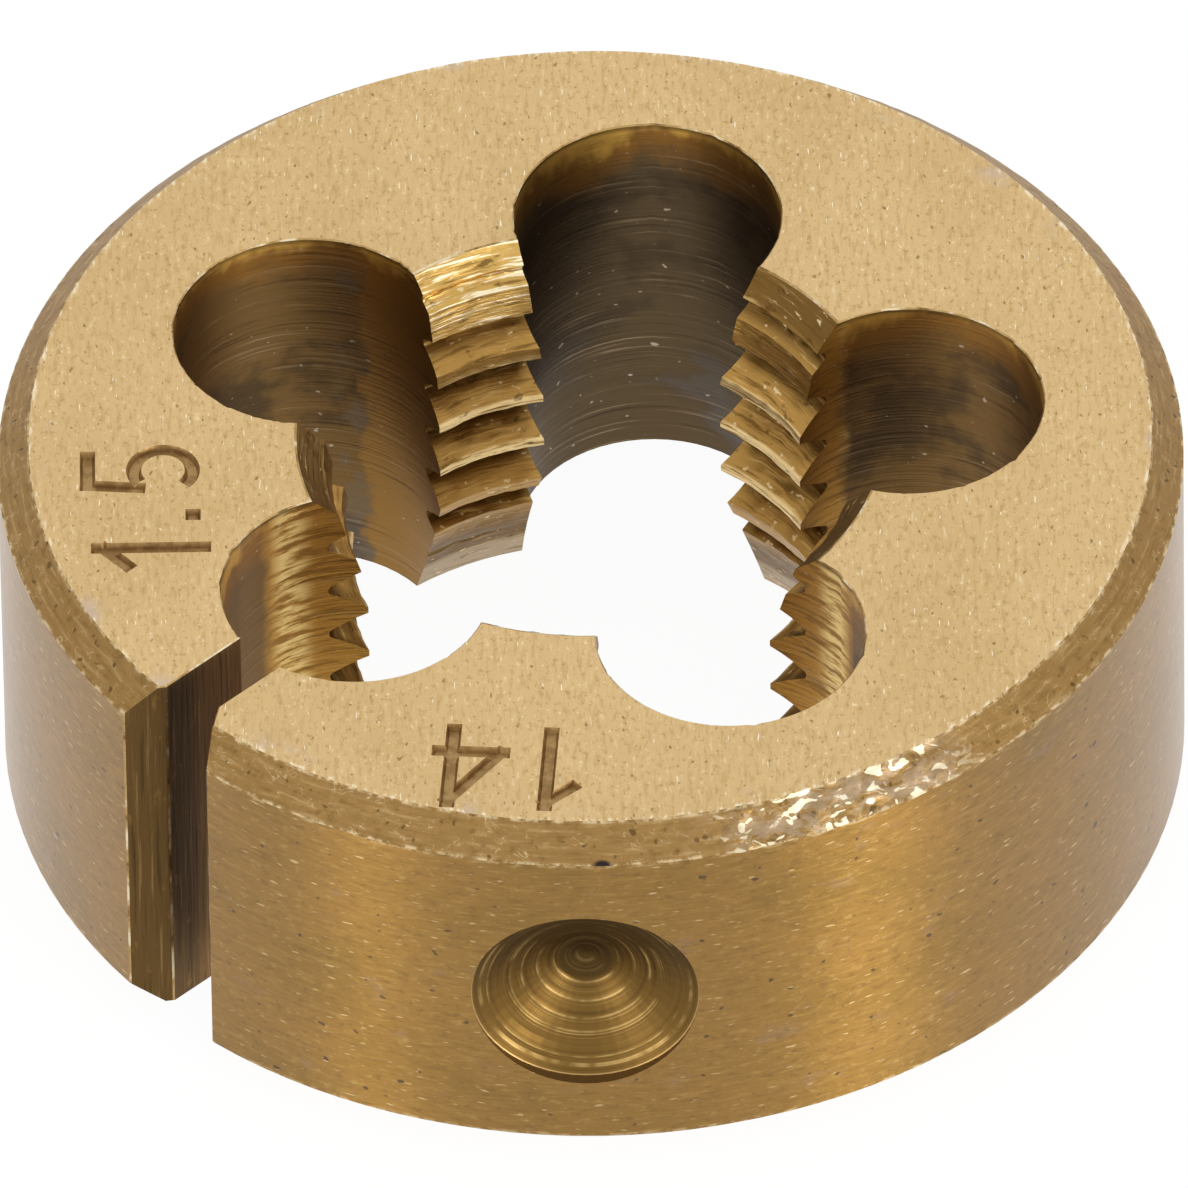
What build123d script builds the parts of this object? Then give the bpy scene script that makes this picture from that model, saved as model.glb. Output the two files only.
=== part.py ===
from build123d import *
from math import ceil, radians, sqrt, tan
import os

# Round threading die for cutting M14 x 1.5 right-hand external threads.
#
# One piece of hardened steel.  The bore carries the cutting thread, and five
# chip holes break that thread into five lands of teeth.  A slit with a V-shaped
# mouth lets the die be sprung open or shut by a few hundredths, and a pointed
# recess in the rim takes the fixing screw of the die stock.
#
# Millimetres.  The origin is on the die's axis, in the plane of its lower face.
# +Z runs along the axis to the marked face, and the slit opens towards -Y.

# Body
body_diameter = 30.0
body_thickness = 11.0
rim_chamfer = 0.8

# Cutting thread
thread_diameter = 14.0
thread_pitch = 1.5
thread_angle = 60.0
thread_start = 7.0  # where a tooth crest crosses the lower face, in degrees from +X
tooth_height_per_pitch = 0.61344  # of the metric profile, from the thread to its core
root_clearance = 0.05  # radial, outside the thread that the die cuts
root_flat_per_pitch = 0.125
root_rounding_per_pitch = 0.1

# Entry of the bore at the marked face: a countersink, then a long lead taper
entry_margin = 0.45  # radial, from the thread out to the countersink's rim
entry_angle = 90.0
lead_margin = 0.25  # radial, from the thread in to the start of the taper
lead_angle = 30.0

# Exit of the bore at the lower face: one short taper
exit_margin = 0.55  # radial, from the thread out to the taper's rim
exit_angle = 40.0

# Chip holes
chip_hole_count = 5
chip_hole_diameter = 6.8
chip_hole_offset = 1.15  # radial, from the thread out to a chip hole's centre

# Adjusting slit, which opens the first chip hole to the rim, and its ground V mouth
slit_angle = 270.0
slit_width = 1.45
slit_mouth_width = 3.0
slit_mouth_angle = 70.0
slit_mouth_shift = 0.15  # sideways, from the slit's middle

# Recess for the fixing screw, drilled into the rim at mid-thickness
recess_from_slit = 45.6  # degrees round the axis
recess_diameter = 5.75
recess_depth = 0.3  # of its straight wall, from the rim's crown
recess_point_angle = 118.0
recess_web_diameter = 1.5  # the blunt middle of the drill's point
recess_web_angle = 150.0

# How far a cutting shape reaches past the steel
overshoot = 1.0


def cone_depth(large_radius, small_radius, included_angle):
    """Axial length of a cone between two radii."""
    return (large_radius - small_radius) / tan(radians(included_angle / 2))


# Radii of the body and its thread
body_radius = body_diameter / 2
thread_radius = thread_diameter / 2
crest_radius = thread_radius - tooth_height_per_pitch * thread_pitch
root_radius = thread_radius + root_clearance
chip_circle_radius = thread_radius + chip_hole_offset

# Heights where the bore's tapers end
entry_radius = thread_radius + entry_margin
lead_radius = thread_radius - lead_margin
exit_radius = thread_radius + exit_margin
entry_bottom = body_thickness - cone_depth(entry_radius, lead_radius, entry_angle)
lead_bottom = entry_bottom - cone_depth(lead_radius, crest_radius, lead_angle)
exit_top = cone_depth(exit_radius, crest_radius, exit_angle)

# The thread's groove between two teeth, from one chip hole round to the next
land_spacing = 360 / chip_hole_count
flank_slope = tan(radians(thread_angle / 2))
groove_reach = crest_radius - root_clearance
root_half_width = root_flat_per_pitch * thread_pitch / 2
groove_half_width = root_half_width + (root_radius - groove_reach) * flank_slope

with BuildPart() as groove_stretch:
    with BuildLine():
        groove_path = Helix(thread_pitch, thread_pitch * land_spacing / 360, root_radius)
    with BuildSketch(Plane.XZ) as groove_section:
        with BuildLine():
            Polyline(
                (groove_reach, -groove_half_width),
                (root_radius, -root_half_width),
                (root_radius, root_half_width),
                (groove_reach, groove_half_width),
                close=True,
            )
        make_face()
        root_corners = groove_section.vertices().group_by(Axis.X)[-1]
        fillet(root_corners, root_rounding_per_pitch * thread_pitch)
    sweep(path=groove_path, is_frenet=True)


def groove_locations():
    """Where the stretches start: at every chip hole, on every turn of the thread."""
    places = []
    for hole in range(chip_hole_count):
        angle = slit_angle + hole * land_spacing
        lowest_turn = ((angle - thread_start) / 360 + 0.5) % 1 - 1
        for turn in range(ceil(body_thickness / thread_pitch) + 2):
            height = (lowest_turn + turn) * thread_pitch
            places.append(Location((0, 0, height), (0, 0, angle)))
    return places


# The slit's V-shaped mouth
mouth_slope = tan(radians(slit_mouth_angle / 2))
mouth_end = sqrt(body_radius**2 - (slit_mouth_width / 2) ** 2)
mouth_apex = mouth_end - slit_mouth_width / 2 / mouth_slope
slit_end = mouth_end + overshoot
slit_end_half_width = slit_mouth_width / 2 + overshoot * mouth_slope

# The recess, drawn in a plane through its own axis: x along the die, y out of the rim
recess_radius = recess_diameter / 2
recess_web_radius = recess_web_diameter / 2
recess_web_start = recess_depth + cone_depth(recess_radius, recess_web_radius, recess_point_angle)
recess_end = recess_web_start + cone_depth(recess_web_radius, 0, recess_web_angle)
recess_position = slit_angle + recess_from_slit
recess_plane = Plane(
    origin=Vector(body_radius, 0, body_thickness / 2).rotate(Axis.Z, recess_position),
    x_dir=(0, 0, 1),
    z_dir=Vector(0, 1, 0).rotate(Axis.Z, recess_position),
)

with BuildPart() as die_body:
    # Turned blank
    with BuildSketch():
        Circle(body_radius)
    extrude(amount=body_thickness)
    chamfer(die_body.edges().filter_by(GeomType.CIRCLE), rim_chamfer)

    # Bore across the tooth crests, with its tapers at both faces
    with BuildSketch(Plane.XZ):
        with BuildLine():
            Polyline(
                (0, 0),
                (exit_radius, 0),
                (crest_radius, exit_top),
                (crest_radius, lead_bottom),
                (lead_radius, entry_bottom),
                (entry_radius, body_thickness),
                (0, body_thickness),
                close=True,
            )
        make_face()
    revolve(axis=Axis.Z, mode=Mode.SUBTRACT)

    # Chip holes
    with BuildSketch():
        with PolarLocations(chip_circle_radius, chip_hole_count, start_angle=slit_angle):
            Circle(chip_hole_diameter / 2)
    extrude(amount=body_thickness, mode=Mode.SUBTRACT)

    # Thread, which leaves the cutting teeth on the lands
    with Locations(*groove_locations()):
        add(groove_stretch.part, mode=Mode.SUBTRACT)

    # Adjusting slit and its mouth
    with BuildSketch(Plane.XY.rotated((0, 0, slit_angle))):
        with Locations((chip_circle_radius, 0)):
            slit_length = slit_end - chip_circle_radius
            Rectangle(slit_length, slit_width, align=(Align.MIN, Align.CENTER))
        with BuildLine():
            Polyline(
                (mouth_apex, slit_mouth_shift),
                (slit_end, slit_mouth_shift - slit_end_half_width),
                (slit_end, slit_mouth_shift + slit_end_half_width),
                close=True,
            )
        make_face()
    extrude(amount=body_thickness, mode=Mode.SUBTRACT)

    # Fixing screw's recess
    with BuildSketch(recess_plane):
        with BuildLine():
            Polyline(
                (0, overshoot),
                (recess_radius, overshoot),
                (recess_radius, -recess_depth),
                (recess_web_radius, -recess_web_start),
                (0, -recess_end),
                close=True,
            )
        make_face()
    revolve(axis=Axis(recess_plane.origin, recess_plane.y_dir), mode=Mode.SUBTRACT)

die_body.part.label = "die_body"

os.makedirs("parts", exist_ok=True)
export_step(die_body.part, "parts/die_body.step")
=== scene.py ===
"""Looks of the round threading die: golden, engraved and worn steel in a white studio.

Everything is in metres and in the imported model's frame: +Z runs up the die's axis from its
plain lower face to the marked one, and the adjusting slit opens towards -Y. Materials work in
millimetres, on the object's own coordinates.
"""

import math

import bmesh
import bpy
from mathutils import Matrix, Quaternion, Vector, noise

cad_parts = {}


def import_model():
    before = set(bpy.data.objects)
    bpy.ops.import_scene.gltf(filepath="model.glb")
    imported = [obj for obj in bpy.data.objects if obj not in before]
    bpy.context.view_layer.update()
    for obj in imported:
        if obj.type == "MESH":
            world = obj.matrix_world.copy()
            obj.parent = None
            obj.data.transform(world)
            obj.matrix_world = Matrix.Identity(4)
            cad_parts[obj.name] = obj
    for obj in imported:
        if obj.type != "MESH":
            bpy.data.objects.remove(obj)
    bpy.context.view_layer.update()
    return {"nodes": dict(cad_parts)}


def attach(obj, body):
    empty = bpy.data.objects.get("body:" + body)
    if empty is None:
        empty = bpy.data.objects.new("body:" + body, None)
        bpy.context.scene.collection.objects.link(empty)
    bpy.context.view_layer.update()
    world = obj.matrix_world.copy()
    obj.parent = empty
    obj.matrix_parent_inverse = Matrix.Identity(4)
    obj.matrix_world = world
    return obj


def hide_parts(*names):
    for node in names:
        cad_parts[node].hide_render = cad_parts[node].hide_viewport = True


MM = 0.001
UP = Vector((0, 0, 1))

# The die's own sizes, as in the part's source, in millimetres and degrees
BODY_RADIUS = 15.0
BODY_THICKNESS = 11.0
RIM_CHAMFER = 0.8
THREAD_RADIUS = 7.0
THREAD_PITCH = 1.5
CHIP_HOLES = 5
CHIP_HOLE_RADIUS = 3.4
CHIP_CIRCLE_RADIUS = 8.15
SLIT_ANGLE = 270.0
SLIT_HALF_WIDTH = 0.725
RECESS_ANGLE = 315.6
RECESS_RADIUS = 2.875

# Sizes that follow from them, and heights where the teeth take painted highlights at the lead and turn
# pale at the exit
MID_HEIGHT = BODY_THICKNESS / 2
FACE_RADIUS = BODY_RADIUS - RIM_CHAMFER
HOLES_REACH = CHIP_CIRCLE_RADIUS + CHIP_HOLE_RADIUS
CREST_RADIUS = 6.08
LEAD_HEIGHT = 9.0
EXIT_HEIGHT = 0.9

# Chip holes are numbered round from the slit, and a land has the number of the hole before it
# Holes up to this one have painted reflections and highlights on their walls beside the lands
LAST_HOLE_WITH_PAINTED_SIDES = 2
FAR_HOLE = 3
LEFT_HOLE = 4
# the land whose lead takes painted highlights
PAINTED_HIGHLIGHT_LAND = 3

# How near a face's middle is to a surface that it belongs to, in millimetres
NEAR_WALL = 0.05
NEAR_RECESS = 0.05
NEAR_CHIP_HOLE = 0.03
NEAR_SLIT = 0.01
RECESS_REACH = 1.9  # inwards from the wall, a little past the recess's tip

# How a face's direction agrees with such a surface: cosines
LEVEL = 0.99
SLOPING = 0.6
OUTWARDS = 0.95
UPRIGHT = 0.1

# Fine form that the solid leaves out, in millimetres unless a line says otherwise
EDGE_BREAK = 0.035
SPLIT_PASSES = 5
RIM_STEP = 0.16
RIM_WEAR = 0.08
RIM_GRAIN = 0.35
RIM_CHIPPED_ABOVE = 0.15  # the value of the noise
CHAMFER_STEP = 0.2
CHAMFER_WEAR = 0.016
CHAMFER_GRAIN = 0.4
BATTERED_FROM = 60.0  # degrees round from the slit
BATTERED_TO = 84.0  # degrees round from the slit
BATTERED_FADE = 1.4
BATTERED_WEAR = 0.05
RECESS_STEP = 0.12
RECESS_WEAR = 0.022
RECESS_BORDER = 0.05
RING_SPACING = 0.11
RING_WOBBLE = 0.3  # share of the place itself in the rings' noise
TOOTH_STEP = 0.3
TOOTH_WEAR = 0.035
TOOTH_GRAIN = 0.5
FLOOR_GAP = 0.02  # below the lower face, so that the two never share a plane
WELD = 0.0001
SHARP_ANGLE = 20.0  # degrees
CORNER_TURN = 0.5  # radians
NOISE_ROUGHNESS = 1.0
NOISE_LACUNARITY = 2.0
OTHER_NOISE = Vector((9, 9, 9))  # far enough off to be another stretch of the same noise

# The plain numbers on the marked face: the strokes, where the digits' tops point, in degrees,
# and each digit's foot, across the line and out from the axis
ENGRAVED_DEPTH = 0.16
ENGRAVED_WIDTH = 0.4
ENGRAVED_HEIGHT = 2.65
ENGRAVED_TAPER = 0.6  # a stroke's width at the bottom of the cut, as a share
CUTTER_OVERSHOOT = 0.1  # above the face, as a share of the depth
BOW_STEPS = 28
POINT_HALF_LENGTH = 0.01
DIAMETER_UP = 312.45
DIAMETER_ONE = (0.22, 11.02)
DIAMETER_FOUR = (2.67, 11.02)
PITCH_UP = 226.95
PITCH_ONE = (-3.97, 9.79)
PITCH_POINT = (-2.78, 10.05)
PITCH_FIVE = (-1.66, 10.06)

# The direction in which both faces were ground, and the camera's
GRAIN_ANGLE = 316.95
CAMERA_ANGLE = 316.95
CAMERA_ELEVATION = 43.475
CAMERA_DISTANCE = 1.139
CAMERA_ROLL = -0.916
CAMERA_LENS = 1360.8
CAMERA_SENSOR = 36.0
CAMERA_SIGHT = 10.0
AIM_RIGHT = 0.036
AIM_DOWN = 0.090

# The studio: white all round, which looks brighter than it lights, and a strip lamp at each side
WHITE = (1.0, 1.0, 1.0, 1.0)
WORLD_LIGHT = 0.7
WORLD_SEEN = 1.0
FLOOR_SIZE = 2.0
FLOOR_COLOUR = (0.9, 0.9, 0.9, 1.0)
FLOOR_GLOW = 1.05
FLOOR_GLOW_SHARE = 0.9
LAMP_ELEVATION = 9.0
LAMP_DISTANCE = 0.5
LAMP_HEIGHT = 0.12
RIGHT_LAMP_TURN = 46.0
RIGHT_LAMP_WIDTH = 0.16
RIGHT_LAMP_POWER = 1.1
LEFT_LAMP_TURN = -38.5
LEFT_LAMP_WIDTH = 0.06
LEFT_LAMP_POWER = 0.5


def tone(red, green, blue):
    """A colour given as it should render, 0 to 255 a channel, in the linear values of a shader."""

    def linear(value):
        value /= 255
        return value / 12.92 if value <= 0.04045 else ((value + 0.055) / 1.055) ** 2.4

    return (linear(red), linear(green), linear(blue), 1.0)


def compass(angle, radius=1.0):
    """The point at an angle round the axis, in degrees from +X."""
    turn = math.radians(angle)
    return Vector((radius * math.cos(turn), radius * math.sin(turn), 0))


def level(vector):
    """The direction of a vector without its rise; for a place, the way out from the die's axis."""
    return Vector((vector.x, vector.y, 0)).normalized()


def raised(height):
    return Vector((0, 0, height))


# ---------------------------------------------------------------- form

REGIONS = ("face", "wall", "chamfer", "chip_hole", "teeth", "slit", "recess", "engraved", "rim")
FLAT_REGIONS = ("face", "rim", "engraved", "slit")


def chip_hole_centre(number):
    return compass(SLIT_ANGLE + number * 360 / CHIP_HOLES, CHIP_CIRCLE_RADIUS)


def nearest_hole(place):
    """The number and the centre of the chip hole nearest to a place."""
    holes = [(number, chip_hole_centre(number)) for number in range(CHIP_HOLES)]
    return min(holes, key=lambda hole: (place.xy - hole[1].xy).length)


def from_recess_axis(place):
    """The part of a place that points away from the recess's own axis, in millimetres."""
    outwards = compass(RECESS_ANGLE)
    offset = place - raised(MID_HEIGHT)
    return offset - outwards * offset.dot(outwards)


def region_of(centre, normal):
    """Which of the die's surfaces a face belongs to, from its middle and its direction."""
    place = centre / MM
    radius = place.xy.length
    facing_out = normal.dot(level(place))
    if abs(normal.z) > LEVEL and (place.z < WELD or place.z > BODY_THICKNESS - WELD):
        return "face"
    if radius > FACE_RADIUS - WELD and abs(normal.z) > SLOPING and facing_out > SLOPING:
        return "chamfer"
    if radius > BODY_RADIUS - NEAR_WALL and facing_out > OUTWARDS:
        return "wall"
    if place.dot(compass(RECESS_ANGLE)) > 0 and radius > BODY_RADIUS - RECESS_REACH:
        if from_recess_axis(place).length < RECESS_RADIUS + NEAR_RECESS:
            return "recess"
    hole_radius = (place.xy - nearest_hole(place)[1].xy).length
    if abs(hole_radius - CHIP_HOLE_RADIUS) < NEAR_CHIP_HOLE and abs(normal.z) < UPRIGHT:
        return "chip_hole"
    in_slit = place.y < 0 and abs(place.x) < SLIT_HALF_WIDTH + NEAR_SLIT
    if in_slit or radius > HOLES_REACH:
        return "slit"
    return "teeth"


def true_normal(region, place):
    """The direction of a curved surface itself at a place on it, or none where facets serve."""
    if region == "wall":
        return level(place)
    if region == "chamfer" and place.z < MID_HEIGHT:
        return (level(place) - UP).normalized()
    if region == "chip_hole":
        return level(nearest_hole(place)[1] - place)
    return Vector()


def set_normals(mesh):
    """Smooth shading by the true form of each region, and sharp edges between the regions."""
    mesh.shade_smooth()
    mesh.set_sharp_from_angle(angle=math.radians(SHARP_ANGLE))
    normals = [Vector()] * len(mesh.loops)
    for polygon in mesh.polygons:
        region = REGIONS[polygon.material_index]
        if region in FLAT_REGIONS:
            polygon.use_smooth = False
        for index in polygon.loop_indices:
            place = mesh.vertices[mesh.loops[index].vertex_index].co / MM
            normals[index] = true_normal(region, place)
    mesh.normals_split_custom_set(normals)


def angle_from_slit(place):
    return (math.degrees(math.atan2(place.y, place.x)) - SLIT_ANGLE) % 360


def marks_in_hole(place, middle):
    """Round the wall of the chip hole that holds the face's middle, up it, and its number."""
    number, centre = nearest_hole(middle)
    spoke = SLIT_ANGLE + number * 360 / CHIP_HOLES
    offset = Matrix.Rotation(math.radians(-spoke), 3, "Z") @ (place - centre)
    return Vector((math.atan2(offset.y, offset.x) * CHIP_HOLE_RADIUS, place.z, number))


def marks_round_axis(place, middle, radius, pitch):
    """Round the die, up it from a helix of that pitch, and the number of the land."""
    turn = angle_from_slit(place)
    middle_turn = angle_from_slit(middle)
    if abs(turn - middle_turn) > 180:
        turn += math.copysign(360, middle_turn - turn)
    land = int(middle_turn * CHIP_HOLES / 360)
    return Vector((math.radians(turn) * radius, place.z - pitch * turn / 360, land))


def tool_marks(region, place, middle):
    """Coordinates that follow the tool: along its marks, across them, and which hole or land."""
    if region == "chip_hole":
        return marks_in_hole(place, middle)
    if region == "teeth":
        return marks_round_axis(place, middle, THREAD_RADIUS, THREAD_PITCH)
    if region in ("wall", "chamfer"):
        return marks_round_axis(place, middle, BODY_RADIUS, 0)
    if region == "recess":
        return from_recess_axis(place)
    if region == "slit":
        return Vector((place.z, place.y, place.x))
    turned = Matrix.Rotation(math.radians(-GRAIN_ANGLE), 3, "Z") @ place
    return Vector((turned.x, turned.y, place.z))


def write_marks(mesh):
    marks = mesh.attributes.new("marks", "FLOAT_VECTOR", "CORNER")
    for polygon in mesh.polygons:
        region = REGIONS[polygon.material_index]
        for index in polygon.loop_indices:
            place = mesh.vertices[mesh.loops[index].vertex_index].co / MM
            marks.data[index].vector = tool_marks(region, place, polygon.center / MM)


def touches(item, *regions):
    return any(REGIONS[f.material_index] in regions for f in item.link_faces)


def in_upper_half(item):
    """Whether a vertex, or all of an edge, is above mid-thickness."""
    return all(v.co.z > MID_HEIGHT * MM for v in getattr(item, "verts", [item]))


def is_rim(edge):
    """Whether a sharp edge is broken by a flat: those of the marked face and the slit."""
    if edge.calc_face_angle(0) < math.radians(SHARP_ANGLE):
        return False
    if touches(edge, "recess", "chamfer"):
        return False
    heights = [v.co.z / MM for v in edge.verts]
    radii = [v.co.xy.length / MM for v in edge.verts]
    return min(radii) > HOLES_REACH or min(heights) > BODY_THICKNESS - WELD


def split_long_edges(bm, chosen, longest):
    """Halves the chosen edges that are longer than that, a few times over."""
    for _ in range(SPLIT_PASSES):
        edges = [e for e in bm.edges if e.calc_length() > longest * MM and chosen(e)]
        bmesh.ops.subdivide_edges(bm, edges=edges, cuts=1, use_single_edge=True)
        bmesh.ops.triangulate(bm, faces=[f for f in bm.faces if len(f.verts) > 3])


def fractal(place, octaves):
    """Noise about 0, the same in each run."""
    return noise.fractal(place, NOISE_ROUGHNESS, NOISE_LACUNARITY, octaves)


def roughness_at(place, grain):
    """Noise about 0 with features of that size in millimetres."""
    return fractal(place / grain, 3)


def wear_rims(bm):
    """Irregular outlines where the marked face meets the chip holes: a few hundredths deep."""

    def on_hole_rim(item):
        return in_upper_half(item) and touches(item, "face") and touches(item, "chip_hole", "teeth")

    split_long_edges(bm, lambda e: on_hole_rim(e) and e.calc_face_angle(0) > CORNER_TURN, RIM_STEP)
    for vert in bm.verts:
        if not on_hole_rim(vert) or touches(vert, "slit", "teeth"):
            continue
        place = vert.co / MM
        centre = nearest_hole(place)[1]
        outwards = level(place - centre)
        chip = max(0, roughness_at(place, RIM_GRAIN) - RIM_CHIPPED_ABOVE) * RIM_WEAR
        rim = centre + outwards * CHIP_HOLE_RADIUS + outwards * chip
        vert.co = rim * MM + raised(vert.co.z)


def wear_chamfer(bm):
    """A fine grid on the upper chamfer, dented and nicked, most of all on its battered stretch."""

    def on_upper_chamfer(item):
        return in_upper_half(item) and touches(item, "chamfer")

    split_long_edges(bm, on_upper_chamfer, CHAMFER_STEP)
    for vert in bm.verts:
        if not on_upper_chamfer(vert) or touches(vert, "slit"):
            continue
        place = vert.co / MM
        battered = BATTERED_FROM < angle_from_slit(place) < BATTERED_TO
        depth = roughness_at(place, CHAMFER_GRAIN) * (BATTERED_WEAR if battered else CHAMFER_WEAR)
        outwards = level(place)
        if touches(vert, "face"):
            vert.co = outwards * (FACE_RADIUS + depth) * MM + raised(vert.co.z)
        elif touches(vert, "wall"):
            vert.co = outwards * BODY_RADIUS * MM + raised(vert.co.z + depth * MM)
        else:
            vert.co += (outwards + UP).normalized() * depth * MM


def tear_teeth(bm):
    """Teeth uneven by a few hundredths of a millimetre, as cutting leaves them."""
    split_long_edges(bm, lambda e: touches(e, "teeth"), TOOTH_STEP)
    for vert in bm.verts:
        if touches(vert, "teeth") and not touches(vert, "face", "chip_hole", "slit"):
            place = vert.co / MM
            radial = level(place) * roughness_at(place, TOOTH_GRAIN)
            upwards = raised(roughness_at(place + OTHER_NOISE, TOOTH_GRAIN))
            vert.co += (radial + upwards) * TOOTH_WEAR * MM


def ring_recess(bm):
    """The rings that the drill left in the recess."""
    split_long_edges(bm, lambda e: touches(e, "recess"), RECESS_STEP)
    outwards = compass(RECESS_ANGLE)
    for vert in bm.verts:
        if not touches(vert, "recess") or touches(vert, "wall"):
            continue
        spread = from_recess_axis(vert.co / MM)
        if spread.length < RECESS_RADIUS - RECESS_BORDER:
            ring = Vector((spread.length / RING_SPACING, 0, 0)) + spread * RING_WOBBLE
            vert.co += outwards * fractal(ring, 2) * RECESS_WEAR * MM


def break_rims(bm):
    """Narrow flats along the sharp edges of the marked face and the slit."""
    bmesh.ops.bevel(
        bm,
        geom=[e for e in bm.edges if is_rim(e)],
        offset=EDGE_BREAK * MM,
        segments=1,
        affect="EDGES",
        loop_slide=False,
        clamp_overlap=False,
        material=REGIONS.index("rim"),
    )


def copy_of_solid(node):
    """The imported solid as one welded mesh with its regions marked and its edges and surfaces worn."""
    bm = bmesh.new()
    bm.from_mesh(node.data)
    bmesh.ops.remove_doubles(bm, verts=bm.verts, dist=WELD * MM)
    for face in bm.faces:
        face.material_index = REGIONS.index(region_of(face.calc_center_median(), face.normal))
    wear_rims(bm)
    wear_chamfer(bm)
    tear_teeth(bm)
    ring_recess(bm)
    break_rims(bm)
    mesh = bpy.data.meshes.new("die_steel")
    bm.to_mesh(mesh)
    bm.free()
    mesh.attributes.remove(mesh.attributes["custom_normal"])
    return mesh


# ---------------------------------------------------------------- engraving

# Half a stroke's width at the marked face, and at the bottom of the cut
STROKE_HALF_WIDTHS = (ENGRAVED_WIDTH / 2, ENGRAVED_WIDTH / 2 * ENGRAVED_TAPER)


def bar(start, end):
    """Outlines of a straight stroke with square ends, at its two depths."""
    start, end = Vector(start), Vector(end)
    along = (end - start).normalized()
    across = Vector((-along.y, along.x))
    outlines = []
    for half in STROKE_HALF_WIDTHS:
        a, b = start - along * half, end + along * half
        outlines.append([a + across * half, b + across * half, b - across * half, a - across * half])
    return outlines


def bow(centre, radius, first, last):
    """Outlines of a curved stroke round a centre, from one angle to another, at its two depths."""
    centre = Vector(centre)
    outlines = []
    for half in STROKE_HALF_WIDTHS:
        outer, inner = [], []
        for step in range(BOW_STEPS + 1):
            turn = math.radians(first + (last - first) * step / BOW_STEPS)
            ray = Vector((math.cos(turn), math.sin(turn)))
            outer.append(centre + ray * (radius + half))
            inner.append(centre + ray * (radius - half))
        outlines.append(outer + inner[::-1])
    return outlines


def digit_bar(foot, *ends):
    """A straight stroke whose ends are given in shares of a digit's height from its foot."""
    x, y = foot
    return bar(*[(x + across * ENGRAVED_HEIGHT, y + up * ENGRAVED_HEIGHT) for across, up in ends])


def one(foot):
    return [digit_bar(foot, (0, 0), (0, 1)), digit_bar(foot, (0, 0.95), (-0.24, 0.73))]


def four(foot):
    return [
        digit_bar(foot, (0, 0), (0, 1)),
        digit_bar(foot, (0, 0.96), (-0.46, 0.3)),
        digit_bar(foot, (-0.48, 0.3), (0.12, 0.3)),
    ]


def point(foot):
    x, y = foot
    return [bar((x - POINT_HALF_LENGTH, y), (x + POINT_HALF_LENGTH, y))]


def five(foot):
    x, y = foot
    bowl_radius = 0.28 * ENGRAVED_HEIGHT
    bowl_centre = (x + 0.2 * ENGRAVED_HEIGHT, y + bowl_radius)
    return [
        digit_bar(foot, (0, 1), (0.4, 1)),
        digit_bar(foot, (0, 1), (-0.04, 0.52)),
        bow(bowl_centre, bowl_radius, 125, -135),
    ]


def cutter(outlines, place):
    """A stroke as a closed solid that reaches from the bottom of the cut to above the face."""
    top, bottom = outlines
    highest = BODY_THICKNESS + ENGRAVED_DEPTH * CUTTER_OVERSHOOT
    levels = ((bottom, BODY_THICKNESS - ENGRAVED_DEPTH), (top, highest))
    bm = bmesh.new()
    rings = []
    for outline, height in levels:
        rings.append([bm.verts.new((place @ Vector((p.x, p.y, height))) * MM) for p in outline])
    lower, upper = rings
    for i in range(len(top)):
        j = (i + 1) % len(top)
        bm.faces.new((lower[i], lower[j], upper[j], upper[i]))
    bm.faces.new(lower[::-1])
    bm.faces.new(upper)
    for face in bm.faces:
        face.material_index = REGIONS.index("engraved")
    bmesh.ops.recalc_face_normals(bm, faces=bm.faces)
    mesh = bpy.data.meshes.new("stroke")
    bm.to_mesh(mesh)
    bm.free()
    for _ in REGIONS:
        mesh.materials.append(None)
    return bpy.data.objects.new("stroke", mesh)


def cutters_for(outlines, up_angle):
    """The cutters of a line of digits whose tops point outwards, along up_angle."""
    place = Matrix.Rotation(math.radians(up_angle - 90), 4, "Z")
    return [cutter(outline, place) for outline in outlines]


def engrave(die):
    """Cuts the plain numbers 14 and 1.5 into the upper face."""
    strokes = cutters_for(one(DIAMETER_ONE) + four(DIAMETER_FOUR), DIAMETER_UP)
    strokes += cutters_for(one(PITCH_ONE) + point(PITCH_POINT) + five(PITCH_FIVE), PITCH_UP)
    group = bpy.data.collections.new("strokes")
    bpy.context.scene.collection.children.link(group)
    for stroke in strokes:
        group.objects.link(stroke)
    cut = die.modifiers.new("engraving", "BOOLEAN")
    cut.operation = "DIFFERENCE"
    cut.operand_type = "COLLECTION"
    cut.collection = group
    cut.solver = "EXACT"
    cut.material_mode = "INDEX"
    shaped = bpy.data.meshes.new_from_object(die.evaluated_get(bpy.context.evaluated_depsgraph_get()))
    die.modifiers.clear()
    die.data = shaped
    shaped.name = "die_steel"
    for stroke in strokes:
        bpy.data.objects.remove(stroke)
    bpy.data.collections.remove(group)


# ---------------------------------------------------------------- materials


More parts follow.
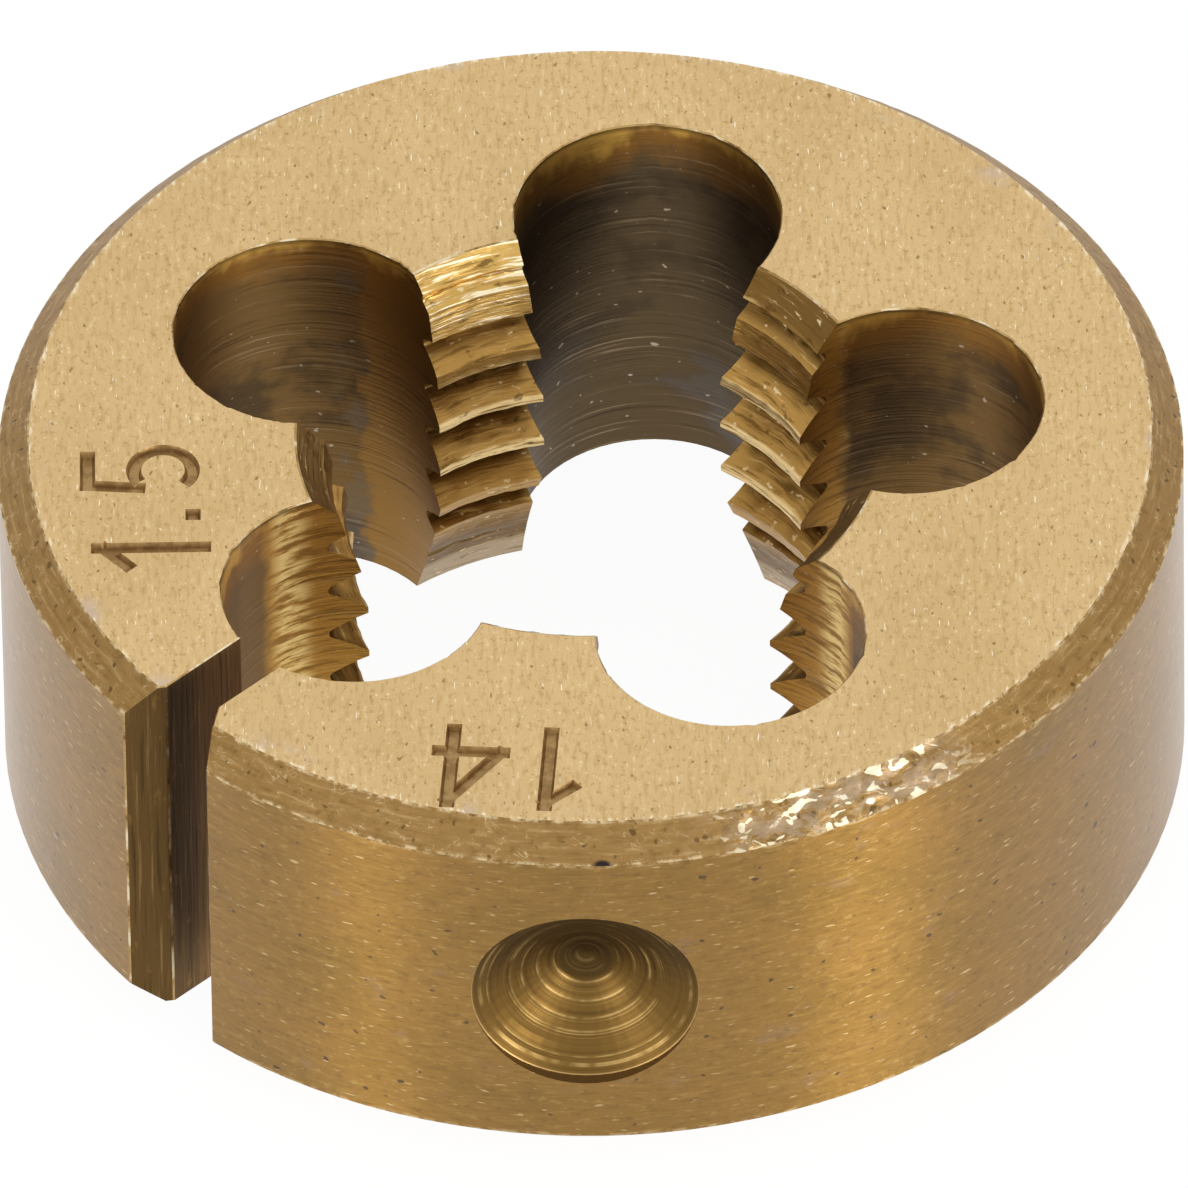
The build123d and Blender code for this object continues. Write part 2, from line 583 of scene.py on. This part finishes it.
class Surface:
    """A material under construction: each call adds nodes and gives back their output."""

    def __init__(self, name, colour, roughness):
        self.material = bpy.data.materials.new(name)
        self.material.use_nodes = True
        self.tree = self.material.node_tree
        self.shader = self.tree.nodes["Principled BSDF"]
        self.set(Metallic=1.0, Roughness=roughness)
        self.colour = tone(*colour)
        self.marks = self.add("ShaderNodeAttribute", attribute_name="marks").outputs["Vector"]
        self.along, _, self.which = self.split(self.marks)
        coordinates = self.add("ShaderNodeTexCoord").outputs["Object"]
        place = self.vector("SCALE", coordinates, scale=1 / MM)
        self.height = self.split(place)[2]
        self.radius = self.vector("LENGTH", self.vector("MULTIPLY", place, (1, 1, 0)))

    def set(self, **values):
        """Sets the shader's inputs, whose names are written with _ for a space."""
        for name, value in values.items():
            self.shader.inputs[name.replace("_", " ")].default_value = value

    def add(self, kind, **settings):
        node = self.tree.nodes.new(kind)
        for name, value in settings.items():
            setattr(node, name, value)
        return node

    def join(self, value, socket):
        """Links an output to a socket, or sets the socket to a plain value."""
        if isinstance(value, bpy.types.NodeSocket):
            self.tree.links.new(value, socket)
        else:
            socket.default_value = value

    def split(self, vector):
        node = self.add("ShaderNodeSeparateXYZ")
        self.join(vector, node.inputs[0])
        return list(node.outputs)

    def math(self, operation, *values):
        node = self.add("ShaderNodeMath", operation=operation)
        for value, socket in zip(values, node.inputs):
            self.join(value, socket)
        return node.outputs[0]

    def product(self, *factors):
        result = factors[0]
        for factor in factors[1:]:
            result = self.math("MULTIPLY", result, factor)
        return result

    def distance(self, value, other):
        return self.math("ABSOLUTE", self.math("SUBTRACT", value, other))

    def vector(self, operation, *values, scale=None):
        node = self.add("ShaderNodeVectorMath", operation=operation)
        for value, socket in zip(values, node.inputs):
            self.join(value, socket)
        if scale is not None:
            self.join(scale, node.inputs["Scale"])
        return node.outputs["Vector" if operation != "LENGTH" else "Value"]

    def ramp(self, value, low, high, start, end):
        """A smooth step from start, where value is low, to end, where it is high."""
        node = self.add("ShaderNodeMapRange", interpolation_type="SMOOTHSTEP")
        self.join(value, node.inputs["Value"])
        node.inputs["From Min"].default_value = low
        node.inputs["From Max"].default_value = high
        node.inputs["To Min"].default_value = start
        node.inputs["To Max"].default_value = end
        return node.outputs["Result"]

    def above(self, value, low, high, share=1.0):
        """A share where value is over high, fading to nothing at low."""
        return self.ramp(value, low, high, 0.0, share)

    def below(self, value, low, high, share=1.0):
        """A share where value is under low, fading to nothing at high."""
        return self.ramp(value, low, high, share, 0.0)

    def between(self, value, low, high, soft):
        """1 where value lies between the two, with soft ends."""
        return self.product(
            self.above(value, low - soft, low + soft),
            self.below(value, high - soft, high + soft),
        )

    def numbered(self, first, last):
        """1 in the holes, or on the lands, from one number to another."""
        return self.between(self.which, first - 0.5, last + 0.5, 0.1)

    def near(self, centre, reach):
        """1 at a place on the tool marks' coordinates, fading to 0 at its reach each way."""
        offset = self.vector("SUBTRACT", self.marks, centre)
        return self.below(self.vector("LENGTH", self.vector("DIVIDE", offset, reach)), 0.5, 1.0)

    def noise(self, stretch, detail=3.0, on=None, bend=0.0):
        """Noise along the tool marks, with this many features to the millimetre each way."""
        node = self.add("ShaderNodeTexNoise")
        self.join(self.vector("MULTIPLY", on or self.marks, stretch), node.inputs["Vector"])
        node.inputs["Scale"].default_value = 1.0
        node.inputs["Detail"].default_value = detail
        node.inputs["Roughness"].default_value = 0.6
        node.inputs["Distortion"].default_value = bend
        return node.outputs["Fac"]

    def scratches(self, stretch):
        """Thin wandering lines: where bent noise crosses its middle value."""
        middle, width = 0.5, 0.006
        return self.between(self.noise(stretch, 2.0, bend=1.5), middle - width, middle + width, width)

    def lay(self, share, colour):
        """Covers a share of what is there with a colour, given as tone takes it."""
        node = self.add("ShaderNodeMix", data_type="RGBA")
        self.join(share, node.inputs[0])
        self.join(self.colour, node.inputs[6])
        self.join(tone(*colour), node.inputs[7])
        self.colour = node.outputs[2]

    def finish(self, height=None, depth=0.0):
        """Gives the shader its colour, and marks of a depth in millimetres."""
        self.join(self.colour, self.shader.inputs["Base Color"])
        if height:
            node = self.add("ShaderNodeBump")
            self.join(height, node.inputs["Height"])
            node.inputs["Distance"].default_value = depth * MM
            self.join(node.outputs["Normal"], self.shader.inputs["Normal"])
        return self.material


def face_steel():
    """Matt gold, with fine pits and short ticks that run with the grinding."""
    s = Surface("ground_face", (220, 190, 138), 0.5)
    cloud = s.noise((0.22, 0.3, 0.3))
    s.lay(s.above(cloud, 0.35, 0.7, 0.6), (208, 177, 124))
    grain = s.noise((1.7, 7.0, 1.0), 4.0)
    s.lay(s.below(grain, 0.34, 0.5, 0.5), (190, 158, 104))
    s.lay(s.above(grain, 0.58, 0.7, 0.6), (236, 214, 170))
    speckle = s.noise((5.0, 6.5, 5.0), 2.0)
    s.lay(s.below(speckle, 0.3, 0.44, 0.6), (180, 148, 94))
    s.lay(s.above(speckle, 0.62, 0.74, 0.7), (244, 226, 186))
    ticks = s.noise((2.0, 13.0, 3.0), 1.0)
    s.lay(s.above(ticks, 0.7, 0.78, 0.9), (252, 242, 216))
    pits = s.noise((3.6, 6.0, 5.0), 1.0)
    s.lay(s.above(pits, 0.69, 0.76, 0.75), (142, 114, 66))
    border = s.above(s.radius, FACE_RADIUS - 0.8, FACE_RADIUS)
    worn = s.above(s.noise((0.5, 0.5, 1.0)), 0.55, 0.7)
    s.lay(s.product(border, worn, 0.7), (204, 186, 172))
    rim = s.above(s.radius, FACE_RADIUS - 0.14, FACE_RADIUS - 0.04)
    s.lay(s.product(rim, s.above(grain, 0.5, 0.62), 0.8), (246, 232, 200))
    return s.finish(speckle, 0.008)


def wall_steel():
    """Turned: mottled gold-brown under a clear film, with wavy lines and pits."""
    s = Surface("turned_wall", (151, 112, 44), 0.38)
    cloud = s.noise((0.22, 0.3, 0.0), 4.0)
    s.lay(s.below(cloud, 0.35, 0.5, 0.7), (139, 104, 36))
    s.lay(s.above(cloud, 0.5, 0.68, 0.6), (160, 117, 50))
    smudges = s.noise((0.5, 0.9, 6.0), 4.0)
    s.lay(s.above(smudges, 0.58, 0.72, 0.45), (150, 118, 88))
    lines = s.noise((1.3, 8.5, 0.0), 5.0, bend=0.5)
    s.lay(s.below(lines, 0.3, 0.48, 0.45), (122, 88, 30))
    s.lay(s.above(lines, 0.52, 0.7, 0.45), (178, 140, 70))
    mottle = s.noise((2.8, 4.2, 0.0), 3.0)
    s.lay(s.below(mottle, 0.3, 0.45, 0.5), (118, 86, 34))
    s.lay(s.above(mottle, 0.57, 0.72, 0.5), (182, 146, 82))
    ticks = s.noise((2.0, 10.0, 3.0), 1.0)
    s.lay(s.above(ticks, 0.68, 0.75, 0.7), (220, 192, 138))
    pits = s.noise((2.3, 3.2, 4.0), 1.0)
    s.lay(s.above(pits, 0.71, 0.76, 0.85), (78, 58, 34))
    end = MID_HEIGHT - RIM_CHAMFER
    edges = s.above(s.distance(s.height, MID_HEIGHT), end - 0.12, end - 0.02)
    s.lay(s.product(edges, s.above(mottle, 0.46, 0.62), 0.55), (214, 184, 132))
    s.set(Anisotropic=0.9, Anisotropic_Rotation=0.25, Coat_Weight=0.6, Coat_Roughness=0.2)
    tangent = s.add("ShaderNodeTangent", direction_type="RADIAL", axis="Z")
    s.join(tangent.outputs[0], s.shader.inputs["Tangent"])
    return s.finish(s.math("ADD", lines, mottle), 0.008)


def battered_stretch(s):
    """1 on the upper chamfer's battered stretch, with soft ends."""
    upper = s.above(s.height, MID_HEIGHT - 0.1, MID_HEIGHT + 0.1)
    first = math.radians(BATTERED_FROM) * BODY_RADIUS
    last = math.radians(BATTERED_TO) * BODY_RADIUS
    return s.product(s.between(s.along, first, last, BATTERED_FADE), upper)


def chamfer_edges(s):
    """1 along both edges of each chamfer."""
    chamfer_middle = (BODY_THICKNESS - RIM_CHAMFER) / 2
    away = s.distance(s.distance(s.height, MID_HEIGHT), chamfer_middle)
    return s.above(away, RIM_CHAMFER / 2 - 0.07, RIM_CHAMFER / 2 - 0.015)


def chamfer_steel():
    """Turned brown with scratches, and on one stretch battered to grey with cream flecks that are partly
    scratches and partly painted glints.
    """
    s = Surface("turned_chamfer", (154, 121, 72), 0.48)
    lines = s.noise((0.8, 9.0, 0.0), 4.0)
    s.lay(s.below(lines, 0.3, 0.5, 0.6), (132, 102, 58))
    s.lay(s.above(lines, 0.52, 0.7, 0.7), (182, 152, 104))
    mottle = s.noise((2.6, 4.0, 2.0), 3.0)
    s.lay(s.below(mottle, 0.3, 0.45, 0.6), (122, 94, 54))
    s.lay(s.above(mottle, 0.58, 0.72, 0.35), (190, 160, 110))
    pits = s.noise((3.2, 4.4, 6.0), 1.0)
    s.lay(s.above(pits, 0.66, 0.73, 0.8), (96, 72, 40))
    scratches = s.scratches((0.9, 2.2, 0.0))
    s.lay(s.product(scratches, s.above(mottle, 0.48, 0.6), 0.6), (222, 200, 156))
    battered = battered_stretch(s)
    torn = s.noise((1.2, 3.2, 0.0), 5.0, bend=0.8)
    s.lay(s.product(battered, s.above(torn, 0.42, 0.58), 0.6), (176, 156, 132))
    s.lay(s.product(battered, s.below(torn, 0.34, 0.42), 0.7), (104, 82, 52))
    # cream flecks: partly scratched steel, partly painted glints off the dents
    flecks = s.noise((1.7, 4.2, 5.0), 1.5, bend=0.7)
    s.lay(s.product(battered, s.above(flecks, 0.57, 0.6), 0.9), (248, 238, 206))
    # near-white patches: partly torn steel, partly painted glints
    s.lay(s.product(battered, s.above(torn, 0.63, 0.68), 0.7), (248, 238, 214))
    s.lay(s.product(chamfer_edges(s), s.above(mottle, 0.44, 0.6), 0.65), (232, 212, 170))
    nick_place = (12.42, 10.2, 0.0)
    nick_reach = (0.3, 0.13, 99.0)
    s.lay(s.near(nick_place, nick_reach), (52, 44, 44))
    return s.finish(s.math("ADD", mottle, s.product(battered, torn)), 0.02)


def lay_left_hole_reflection_and_seam(s, ragged):
    """A painted reflection of the lit side: gold on one side of the left hole, past a ragged edge with a
    grey seam.
    """
    left_hole = s.numbered(LEFT_HOLE, LEFT_HOLE)
    edge = s.math("ADD", s.along, s.product(ragged, 1.8))
    # painted reflection: the side of the left hole that faces the light, laid on as gold
    s.lay(s.product(s.below(edge, -4.4, -4.0, 0.9), left_hole), (154, 114, 56))
    seam = s.between(edge, -4.2, -3.3, 0.2)
    s.lay(s.product(seam, left_hole, s.above(ragged, 0.48, 0.6), 0.6), (118, 104, 84))


def lay_gold_and_painted_light_at_top(s):
    """Gold that comes down from the upper rim to a wavy edge, brightest at the rim: partly the steel's
    own gold and partly painted light that falls in at the hole's mouth.
    """
    waves = s.noise((0.4, 0.25, 7.0), 4.0)
    top = s.math("ADD", s.height, s.product(waves, 4.0))
    s.lay(s.product(s.above(top, 11.2, 12.4), 0.85), (154, 108, 46))
    # painted light: brightest just under the rim, where the most light falls in
    s.lay(s.product(s.above(top, 12.3, 12.9), 0.85), (226, 178, 84))


def lay_painted_side_reflections(s, ragged):
    """Painted reflections and highlights: gold with bright ridges beside the lands, on more of the wall
    in the first two holes.
    """
    from_spoke = s.math("ABSOLUTE", s.along)
    inset = s.ramp(s.which, 1.4, 1.6, 0.4, 1.7)
    beside = s.math("ADD", s.math("SUBTRACT", from_spoke, inset), s.product(ragged, 0.9))
    side = s.product(s.above(beside, 5.2, 5.7), s.numbered(0, LAST_HOLE_WITH_PAINTED_SIDES))
    # painted reflection: the walls beside the lands shown gold as if lit
    s.lay(s.product(side, 0.95), (196, 146, 66))
    ridges = s.noise((0.8, 4.5, 7.0), 4.0)
    highlight_band = s.between(from_spoke, 5.7, 6.6, 0.3)
    # painted highlights along the ridges
    s.lay(s.product(side, highlight_band, s.above(ridges, 0.42, 0.58)), (255, 226, 150))
    s.lay(s.product(side, s.below(ridges, 0.4, 0.48), 0.45), (116, 84, 40))


def chip_hole_steel():
    """Drilled: oxide brown with faint arcs, golden towards the upper rim with painted light there, and
    with painted reflections and highlights beside the lands.
    """
    s = Surface("drilled_wall", (96, 79, 56), 0.42)
    other_holes = s.math("SUBTRACT", 1.0, s.numbered(FAR_HOLE, FAR_HOLE))
    s.lay(s.product(other_holes, 0.9), (130, 99, 56))
    cloud = s.noise((0.3, 0.4, 7.0), 4.0)
    s.lay(s.below(cloud, 0.38, 0.52, 0.7), (72, 58, 42))
    s.lay(s.product(s.below(cloud, 0.4, 0.5), s.below(s.height, 2.0, 5.0), 0.5), (108, 100, 92))
    ragged = s.noise((0.9, 0.8, 7.0), 5.0)
    lay_left_hole_reflection_and_seam(s, ragged)
    lay_gold_and_painted_light_at_top(s)
    lay_painted_side_reflections(s, ragged)
    arcs = s.noise((0.2, 9.0, 7.0), 5.0)
    scored = s.ramp(s.noise((0.4, 0.6, 9.0)), 0.4, 0.6, 0.15, 1.0)
    s.lay(s.product(s.above(arcs, 0.56, 0.7), scored, 0.6), (176, 154, 120))
    s.lay(s.product(s.below(arcs, 0.34, 0.46), scored, 0.55), (52, 40, 26))
    specks = s.noise((3.0, 4.0, 7.0), 1.0)
    s.lay(s.above(specks, 0.72, 0.78, 0.7), (206, 192, 170))
    s.lay(s.above(s.height, BODY_THICKNESS - 0.22, BODY_THICKNESS - 0.06, 0.6), (66, 50, 30))
    return s.finish(arcs, 0.015)


def tooth_steel():
    """Cut teeth: gold with painted highlights on one land's lead, pale crests that are partly worn and
    partly painted highlight, painted shade in the grooves, and pale at the exit.
    """
    s = Surface("cut_teeth", (178, 138, 74), 0.38)
    streaks = s.noise((0.5, 11.0, 3.0), 5.0)
    # painted shade: dark in the grooves, out towards the thread's root
    s.lay(s.above(s.radius, THREAD_RADIUS - 0.5, THREAD_RADIUS - 0.05, 0.75), (88, 62, 30))
    lead = s.above(s.height, LEAD_HEIGHT - 0.4, LEAD_HEIGHT + 0.4)
    painted_highlight_lead = s.product(lead, s.numbered(PAINTED_HIGHLIGHT_LAND, PAINTED_HIGHLIGHT_LAND))
    # painted highlights on the lead of that one land
    s.lay(s.product(painted_highlight_lead, 0.85), (214, 174, 98))
    s.lay(s.below(s.height, EXIT_HEIGHT - 0.2, EXIT_HEIGHT + 0.2, 0.8), (186, 164, 132))
    # pale crests: partly wear, partly a painted highlight along the crest's edge
    crests = s.below(s.radius, CREST_RADIUS + 0.02, CREST_RADIUS + 0.1)
    s.lay(s.product(crests, s.above(streaks, 0.36, 0.52), 0.85), (244, 216, 158))
    s.lay(s.above(streaks, 0.56, 0.7, 0.6), (226, 192, 124))
    s.lay(s.below(streaks, 0.34, 0.47, 0.7), (106, 76, 34))
    s.lay(s.product(painted_highlight_lead, s.above(streaks, 0.52, 0.6)), (255, 240, 204))
    stains = s.noise((1.4, 5.0, 3.0), 3.0)
    s.lay(s.above(stains, 0.6, 0.7, 0.7), (84, 58, 28))
    # painted glints
    glints = s.noise((2.2, 6.0, 9.0), 3.0)
    s.lay(s.above(glints, 0.62, 0.7, 0.7), (246, 222, 172))
    return s.finish(streaks, 0.02)


def slit_steel():
    """Ground and sawn, with lines that run up the die; a duller brown at the mouth."""
    s = Surface("sawn_slit", (104, 79, 44), 0.45)
    s.lay(s.below(s.radius, 12.8, 13.4, 0.9), (134, 100, 58))
    lines = s.noise((0.3, 8.0, 8.0), 4.0)
    s.lay(s.above(lines, 0.56, 0.7, 0.45), (170, 138, 88))
    s.lay(s.below(lines, 0.34, 0.46, 0.5), (58, 42, 24))
    patches = s.noise((1.2, 3.0, 3.0), 3.0)
    s.lay(s.above(patches, 0.6, 0.72, 0.5), (150, 112, 58))
    return s.finish(lines, 0.012)


def recess_steel():
    """Drilled to a point: rings round its own axis, with painted shade at the upper side and in the tip.
    """
    s = Surface("drilled_recess", (112, 85, 42), 0.46)
    height = s.which  # here the marks are the place itself, from the recess's axis
    away = s.vector("LENGTH", s.marks)
    rings = s.noise((7.0, 0.0, 0.0), 4.0, on=s.vector("SCALE", (1, 0, 0), scale=away))
    cloud = s.noise((0.8, 0.8, 0.8), 3.0)
    # painted shade: darker on the upper side of the recess
    s.lay(s.above(height, -0.4, 1.4, 0.75), (84, 64, 32))
    s.lay(s.product(s.above(rings, 0.5, 0.62), s.above(cloud, 0.4, 0.6), 0.75), (190, 158, 100))
    s.lay(s.below(rings, 0.36, 0.48, 0.65), (84, 62, 32))
    # painted shade: darkest in the tip, the deepest part of the recess
    s.lay(s.below(away, 0.6, 0.95, 0.75), (60, 44, 24))
    s.lay(s.above(away, RECESS_RADIUS - 0.05, RECESS_RADIUS - 0.01, 0.8), (190, 158, 104))
    return s.finish(rings, 0.02)


def engraved_steel():
    """Plain brown, with paler clouds."""
    s = Surface("engraved_strokes", (150, 118, 74), 0.5)
    s.lay(s.above(s.noise((3.0, 3.0, 3.0)), 0.4, 0.6), (176, 144, 96))
    return s.finish()


def rim_steel():
    """Pale where the broken edges are bright, and else like the steel round them."""
    s = Surface("broken_rims", (178, 146, 94), 0.45)
    patches = s.noise((1.1, 1.1, 1.1), 4.0)
    s.lay(s.above(patches, 0.48, 0.62), (228, 212, 178))
    s.lay(s.below(patches, 0.36, 0.46, 0.85), (112, 84, 48))
    return s.finish()


def paint(die):
    """One material for each region, in the regions' own order."""
    makers = (
        face_steel,
        wall_steel,
        chamfer_steel,
        chip_hole_steel,
        tooth_steel,
        slit_steel,
        recess_steel,
        engraved_steel,
        rim_steel,
    )
    for make in makers:
        die.data.materials.append(make())


# ---------------------------------------------------------------- studio


def add_camera():
    centre = raised(MID_HEIGHT * MM)
    elevation = math.radians(CAMERA_ELEVATION)
    towards = compass(CAMERA_ANGLE) * math.cos(elevation) + raised(math.sin(elevation))
    turn = towards.to_track_quat("Z", "Y") @ Quaternion((0, 0, 1), math.radians(CAMERA_ROLL))
    aim = centre + turn @ Vector((AIM_RIGHT, -AIM_DOWN, 0)) * MM
    data = bpy.data.cameras.new("camera")
    data.sensor_width = CAMERA_SENSOR
    data.lens = CAMERA_LENS
    data.clip_end = CAMERA_SIGHT
    camera = bpy.data.objects.new("camera", data)
    camera.matrix_world = Matrix.Translation(aim + towards * CAMERA_DISTANCE) @ turn.to_matrix().to_4x4()
    bpy.context.scene.collection.objects.link(camera)
    bpy.context.scene.camera = camera


def background_share(tree):
    """1 for a ray that shows the background itself, or its image in metal, and else 0."""
    path = tree.nodes.new("ShaderNodeLightPath")
    total = path.outputs["Is Camera Ray"]
    for name in ("Is Glossy Ray", "Is Transmission Ray"):
        larger = tree.nodes.new("ShaderNodeMath")
        larger.operation = "MAXIMUM"
        tree.links.new(total, larger.inputs[0])
        tree.links.new(path.outputs[name], larger.inputs[1])
        total = larger.outputs[0]
    return total


def glow_of(tree, kind, strength):
    """The output of a white background or emission node of that strength."""
    node = tree.nodes.new(kind)
    node.inputs["Color"].default_value = WHITE
    node.inputs["Strength"].default_value = strength
    return node.outputs[0]


def mix_into(tree, output_kind, share, first, second):
    """Shows the second of two shaders by that share, and the first for the rest."""
    mix = tree.nodes.new("ShaderNodeMixShader")
    output = tree.nodes.new(output_kind)
    for source, socket in zip((share, first, second), mix.inputs):
        tree.links.new(source, socket)
    tree.links.new(mix.outputs[0], output.inputs["Surface"])


def add_world():
    world = bpy.data.worlds.new("studio")
    bpy.context.scene.world = world
    world.use_nodes = True
    tree = world.node_tree
    tree.nodes.clear()
    lighting = glow_of(tree, "ShaderNodeBackground", WORLD_LIGHT)
    seen = glow_of(tree, "ShaderNodeBackground", WORLD_SEEN)
    mix_into(tree, "ShaderNodeOutputWorld", background_share(tree), lighting, seen)


def add_floor():
    """White paper that mostly glows where it is seen, and takes a faint shadow."""
    bpy.ops.mesh.primitive_plane_add(size=FLOOR_SIZE, location=(0, 0, -FLOOR_GAP * MM))
    floor = bpy.context.object
    floor.name = "floor"
    material = bpy.data.materials.new("white_floor")
    material.use_nodes = True
    tree = material.node_tree
    tree.nodes.clear()
    paper = tree.nodes.new("ShaderNodeBsdfDiffuse")
    paper.inputs["Color"].default_value = FLOOR_COLOUR
    glow = glow_of(tree, "ShaderNodeEmission", FLOOR_GLOW)
    share = tree.nodes.new("ShaderNodeMath")
    share.operation = "MULTIPLY"
    tree.links.new(background_share(tree), share.inputs[0])
    share.inputs[1].default_value = FLOOR_GLOW_SHARE
    mix_into(tree, "ShaderNodeOutputMaterial", share.outputs[0], paper.outputs[0], glow)
    floor.data.materials.append(material)


def add_lamp(name, angle, width, power):
    """A soft upright strip that looks at the die from an angle round its axis."""
    elevation = math.radians(LAMP_ELEVATION)
    towards = compass(angle) * math.cos(elevation) + raised(math.sin(elevation))
    data = bpy.data.lights.new(name, "AREA")
    data.shape = "RECTANGLE"
    data.size = width
    data.size_y = LAMP_HEIGHT
    data.energy = power
    lamp = bpy.data.objects.new(name, data)
    turn = towards.to_track_quat("Z", "Y").to_matrix().to_4x4()
    lamp.matrix_world = Matrix.Translation(towards * LAMP_DISTANCE) @ turn
    bpy.context.scene.collection.objects.link(lamp)


def main():
    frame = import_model()
    bpy.context.scene.view_settings.view_transform = "Standard"
    node = frame["nodes"]["die_body"]
    die = bpy.data.objects.new("die_steel", copy_of_solid(node))
    bpy.context.scene.collection.objects.link(die)
    paint(die)
    engrave(die)
    set_normals(die.data)
    write_marks(die.data)
    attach(die, "root")
    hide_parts("die_body")
    add_camera()
    add_world()
    add_floor()
    add_lamp("right_strip", CAMERA_ANGLE + RIGHT_LAMP_TURN, RIGHT_LAMP_WIDTH, RIGHT_LAMP_POWER)
    add_lamp("left_strip", CAMERA_ANGLE + LEFT_LAMP_TURN, LEFT_LAMP_WIDTH, LEFT_LAMP_POWER)


main()
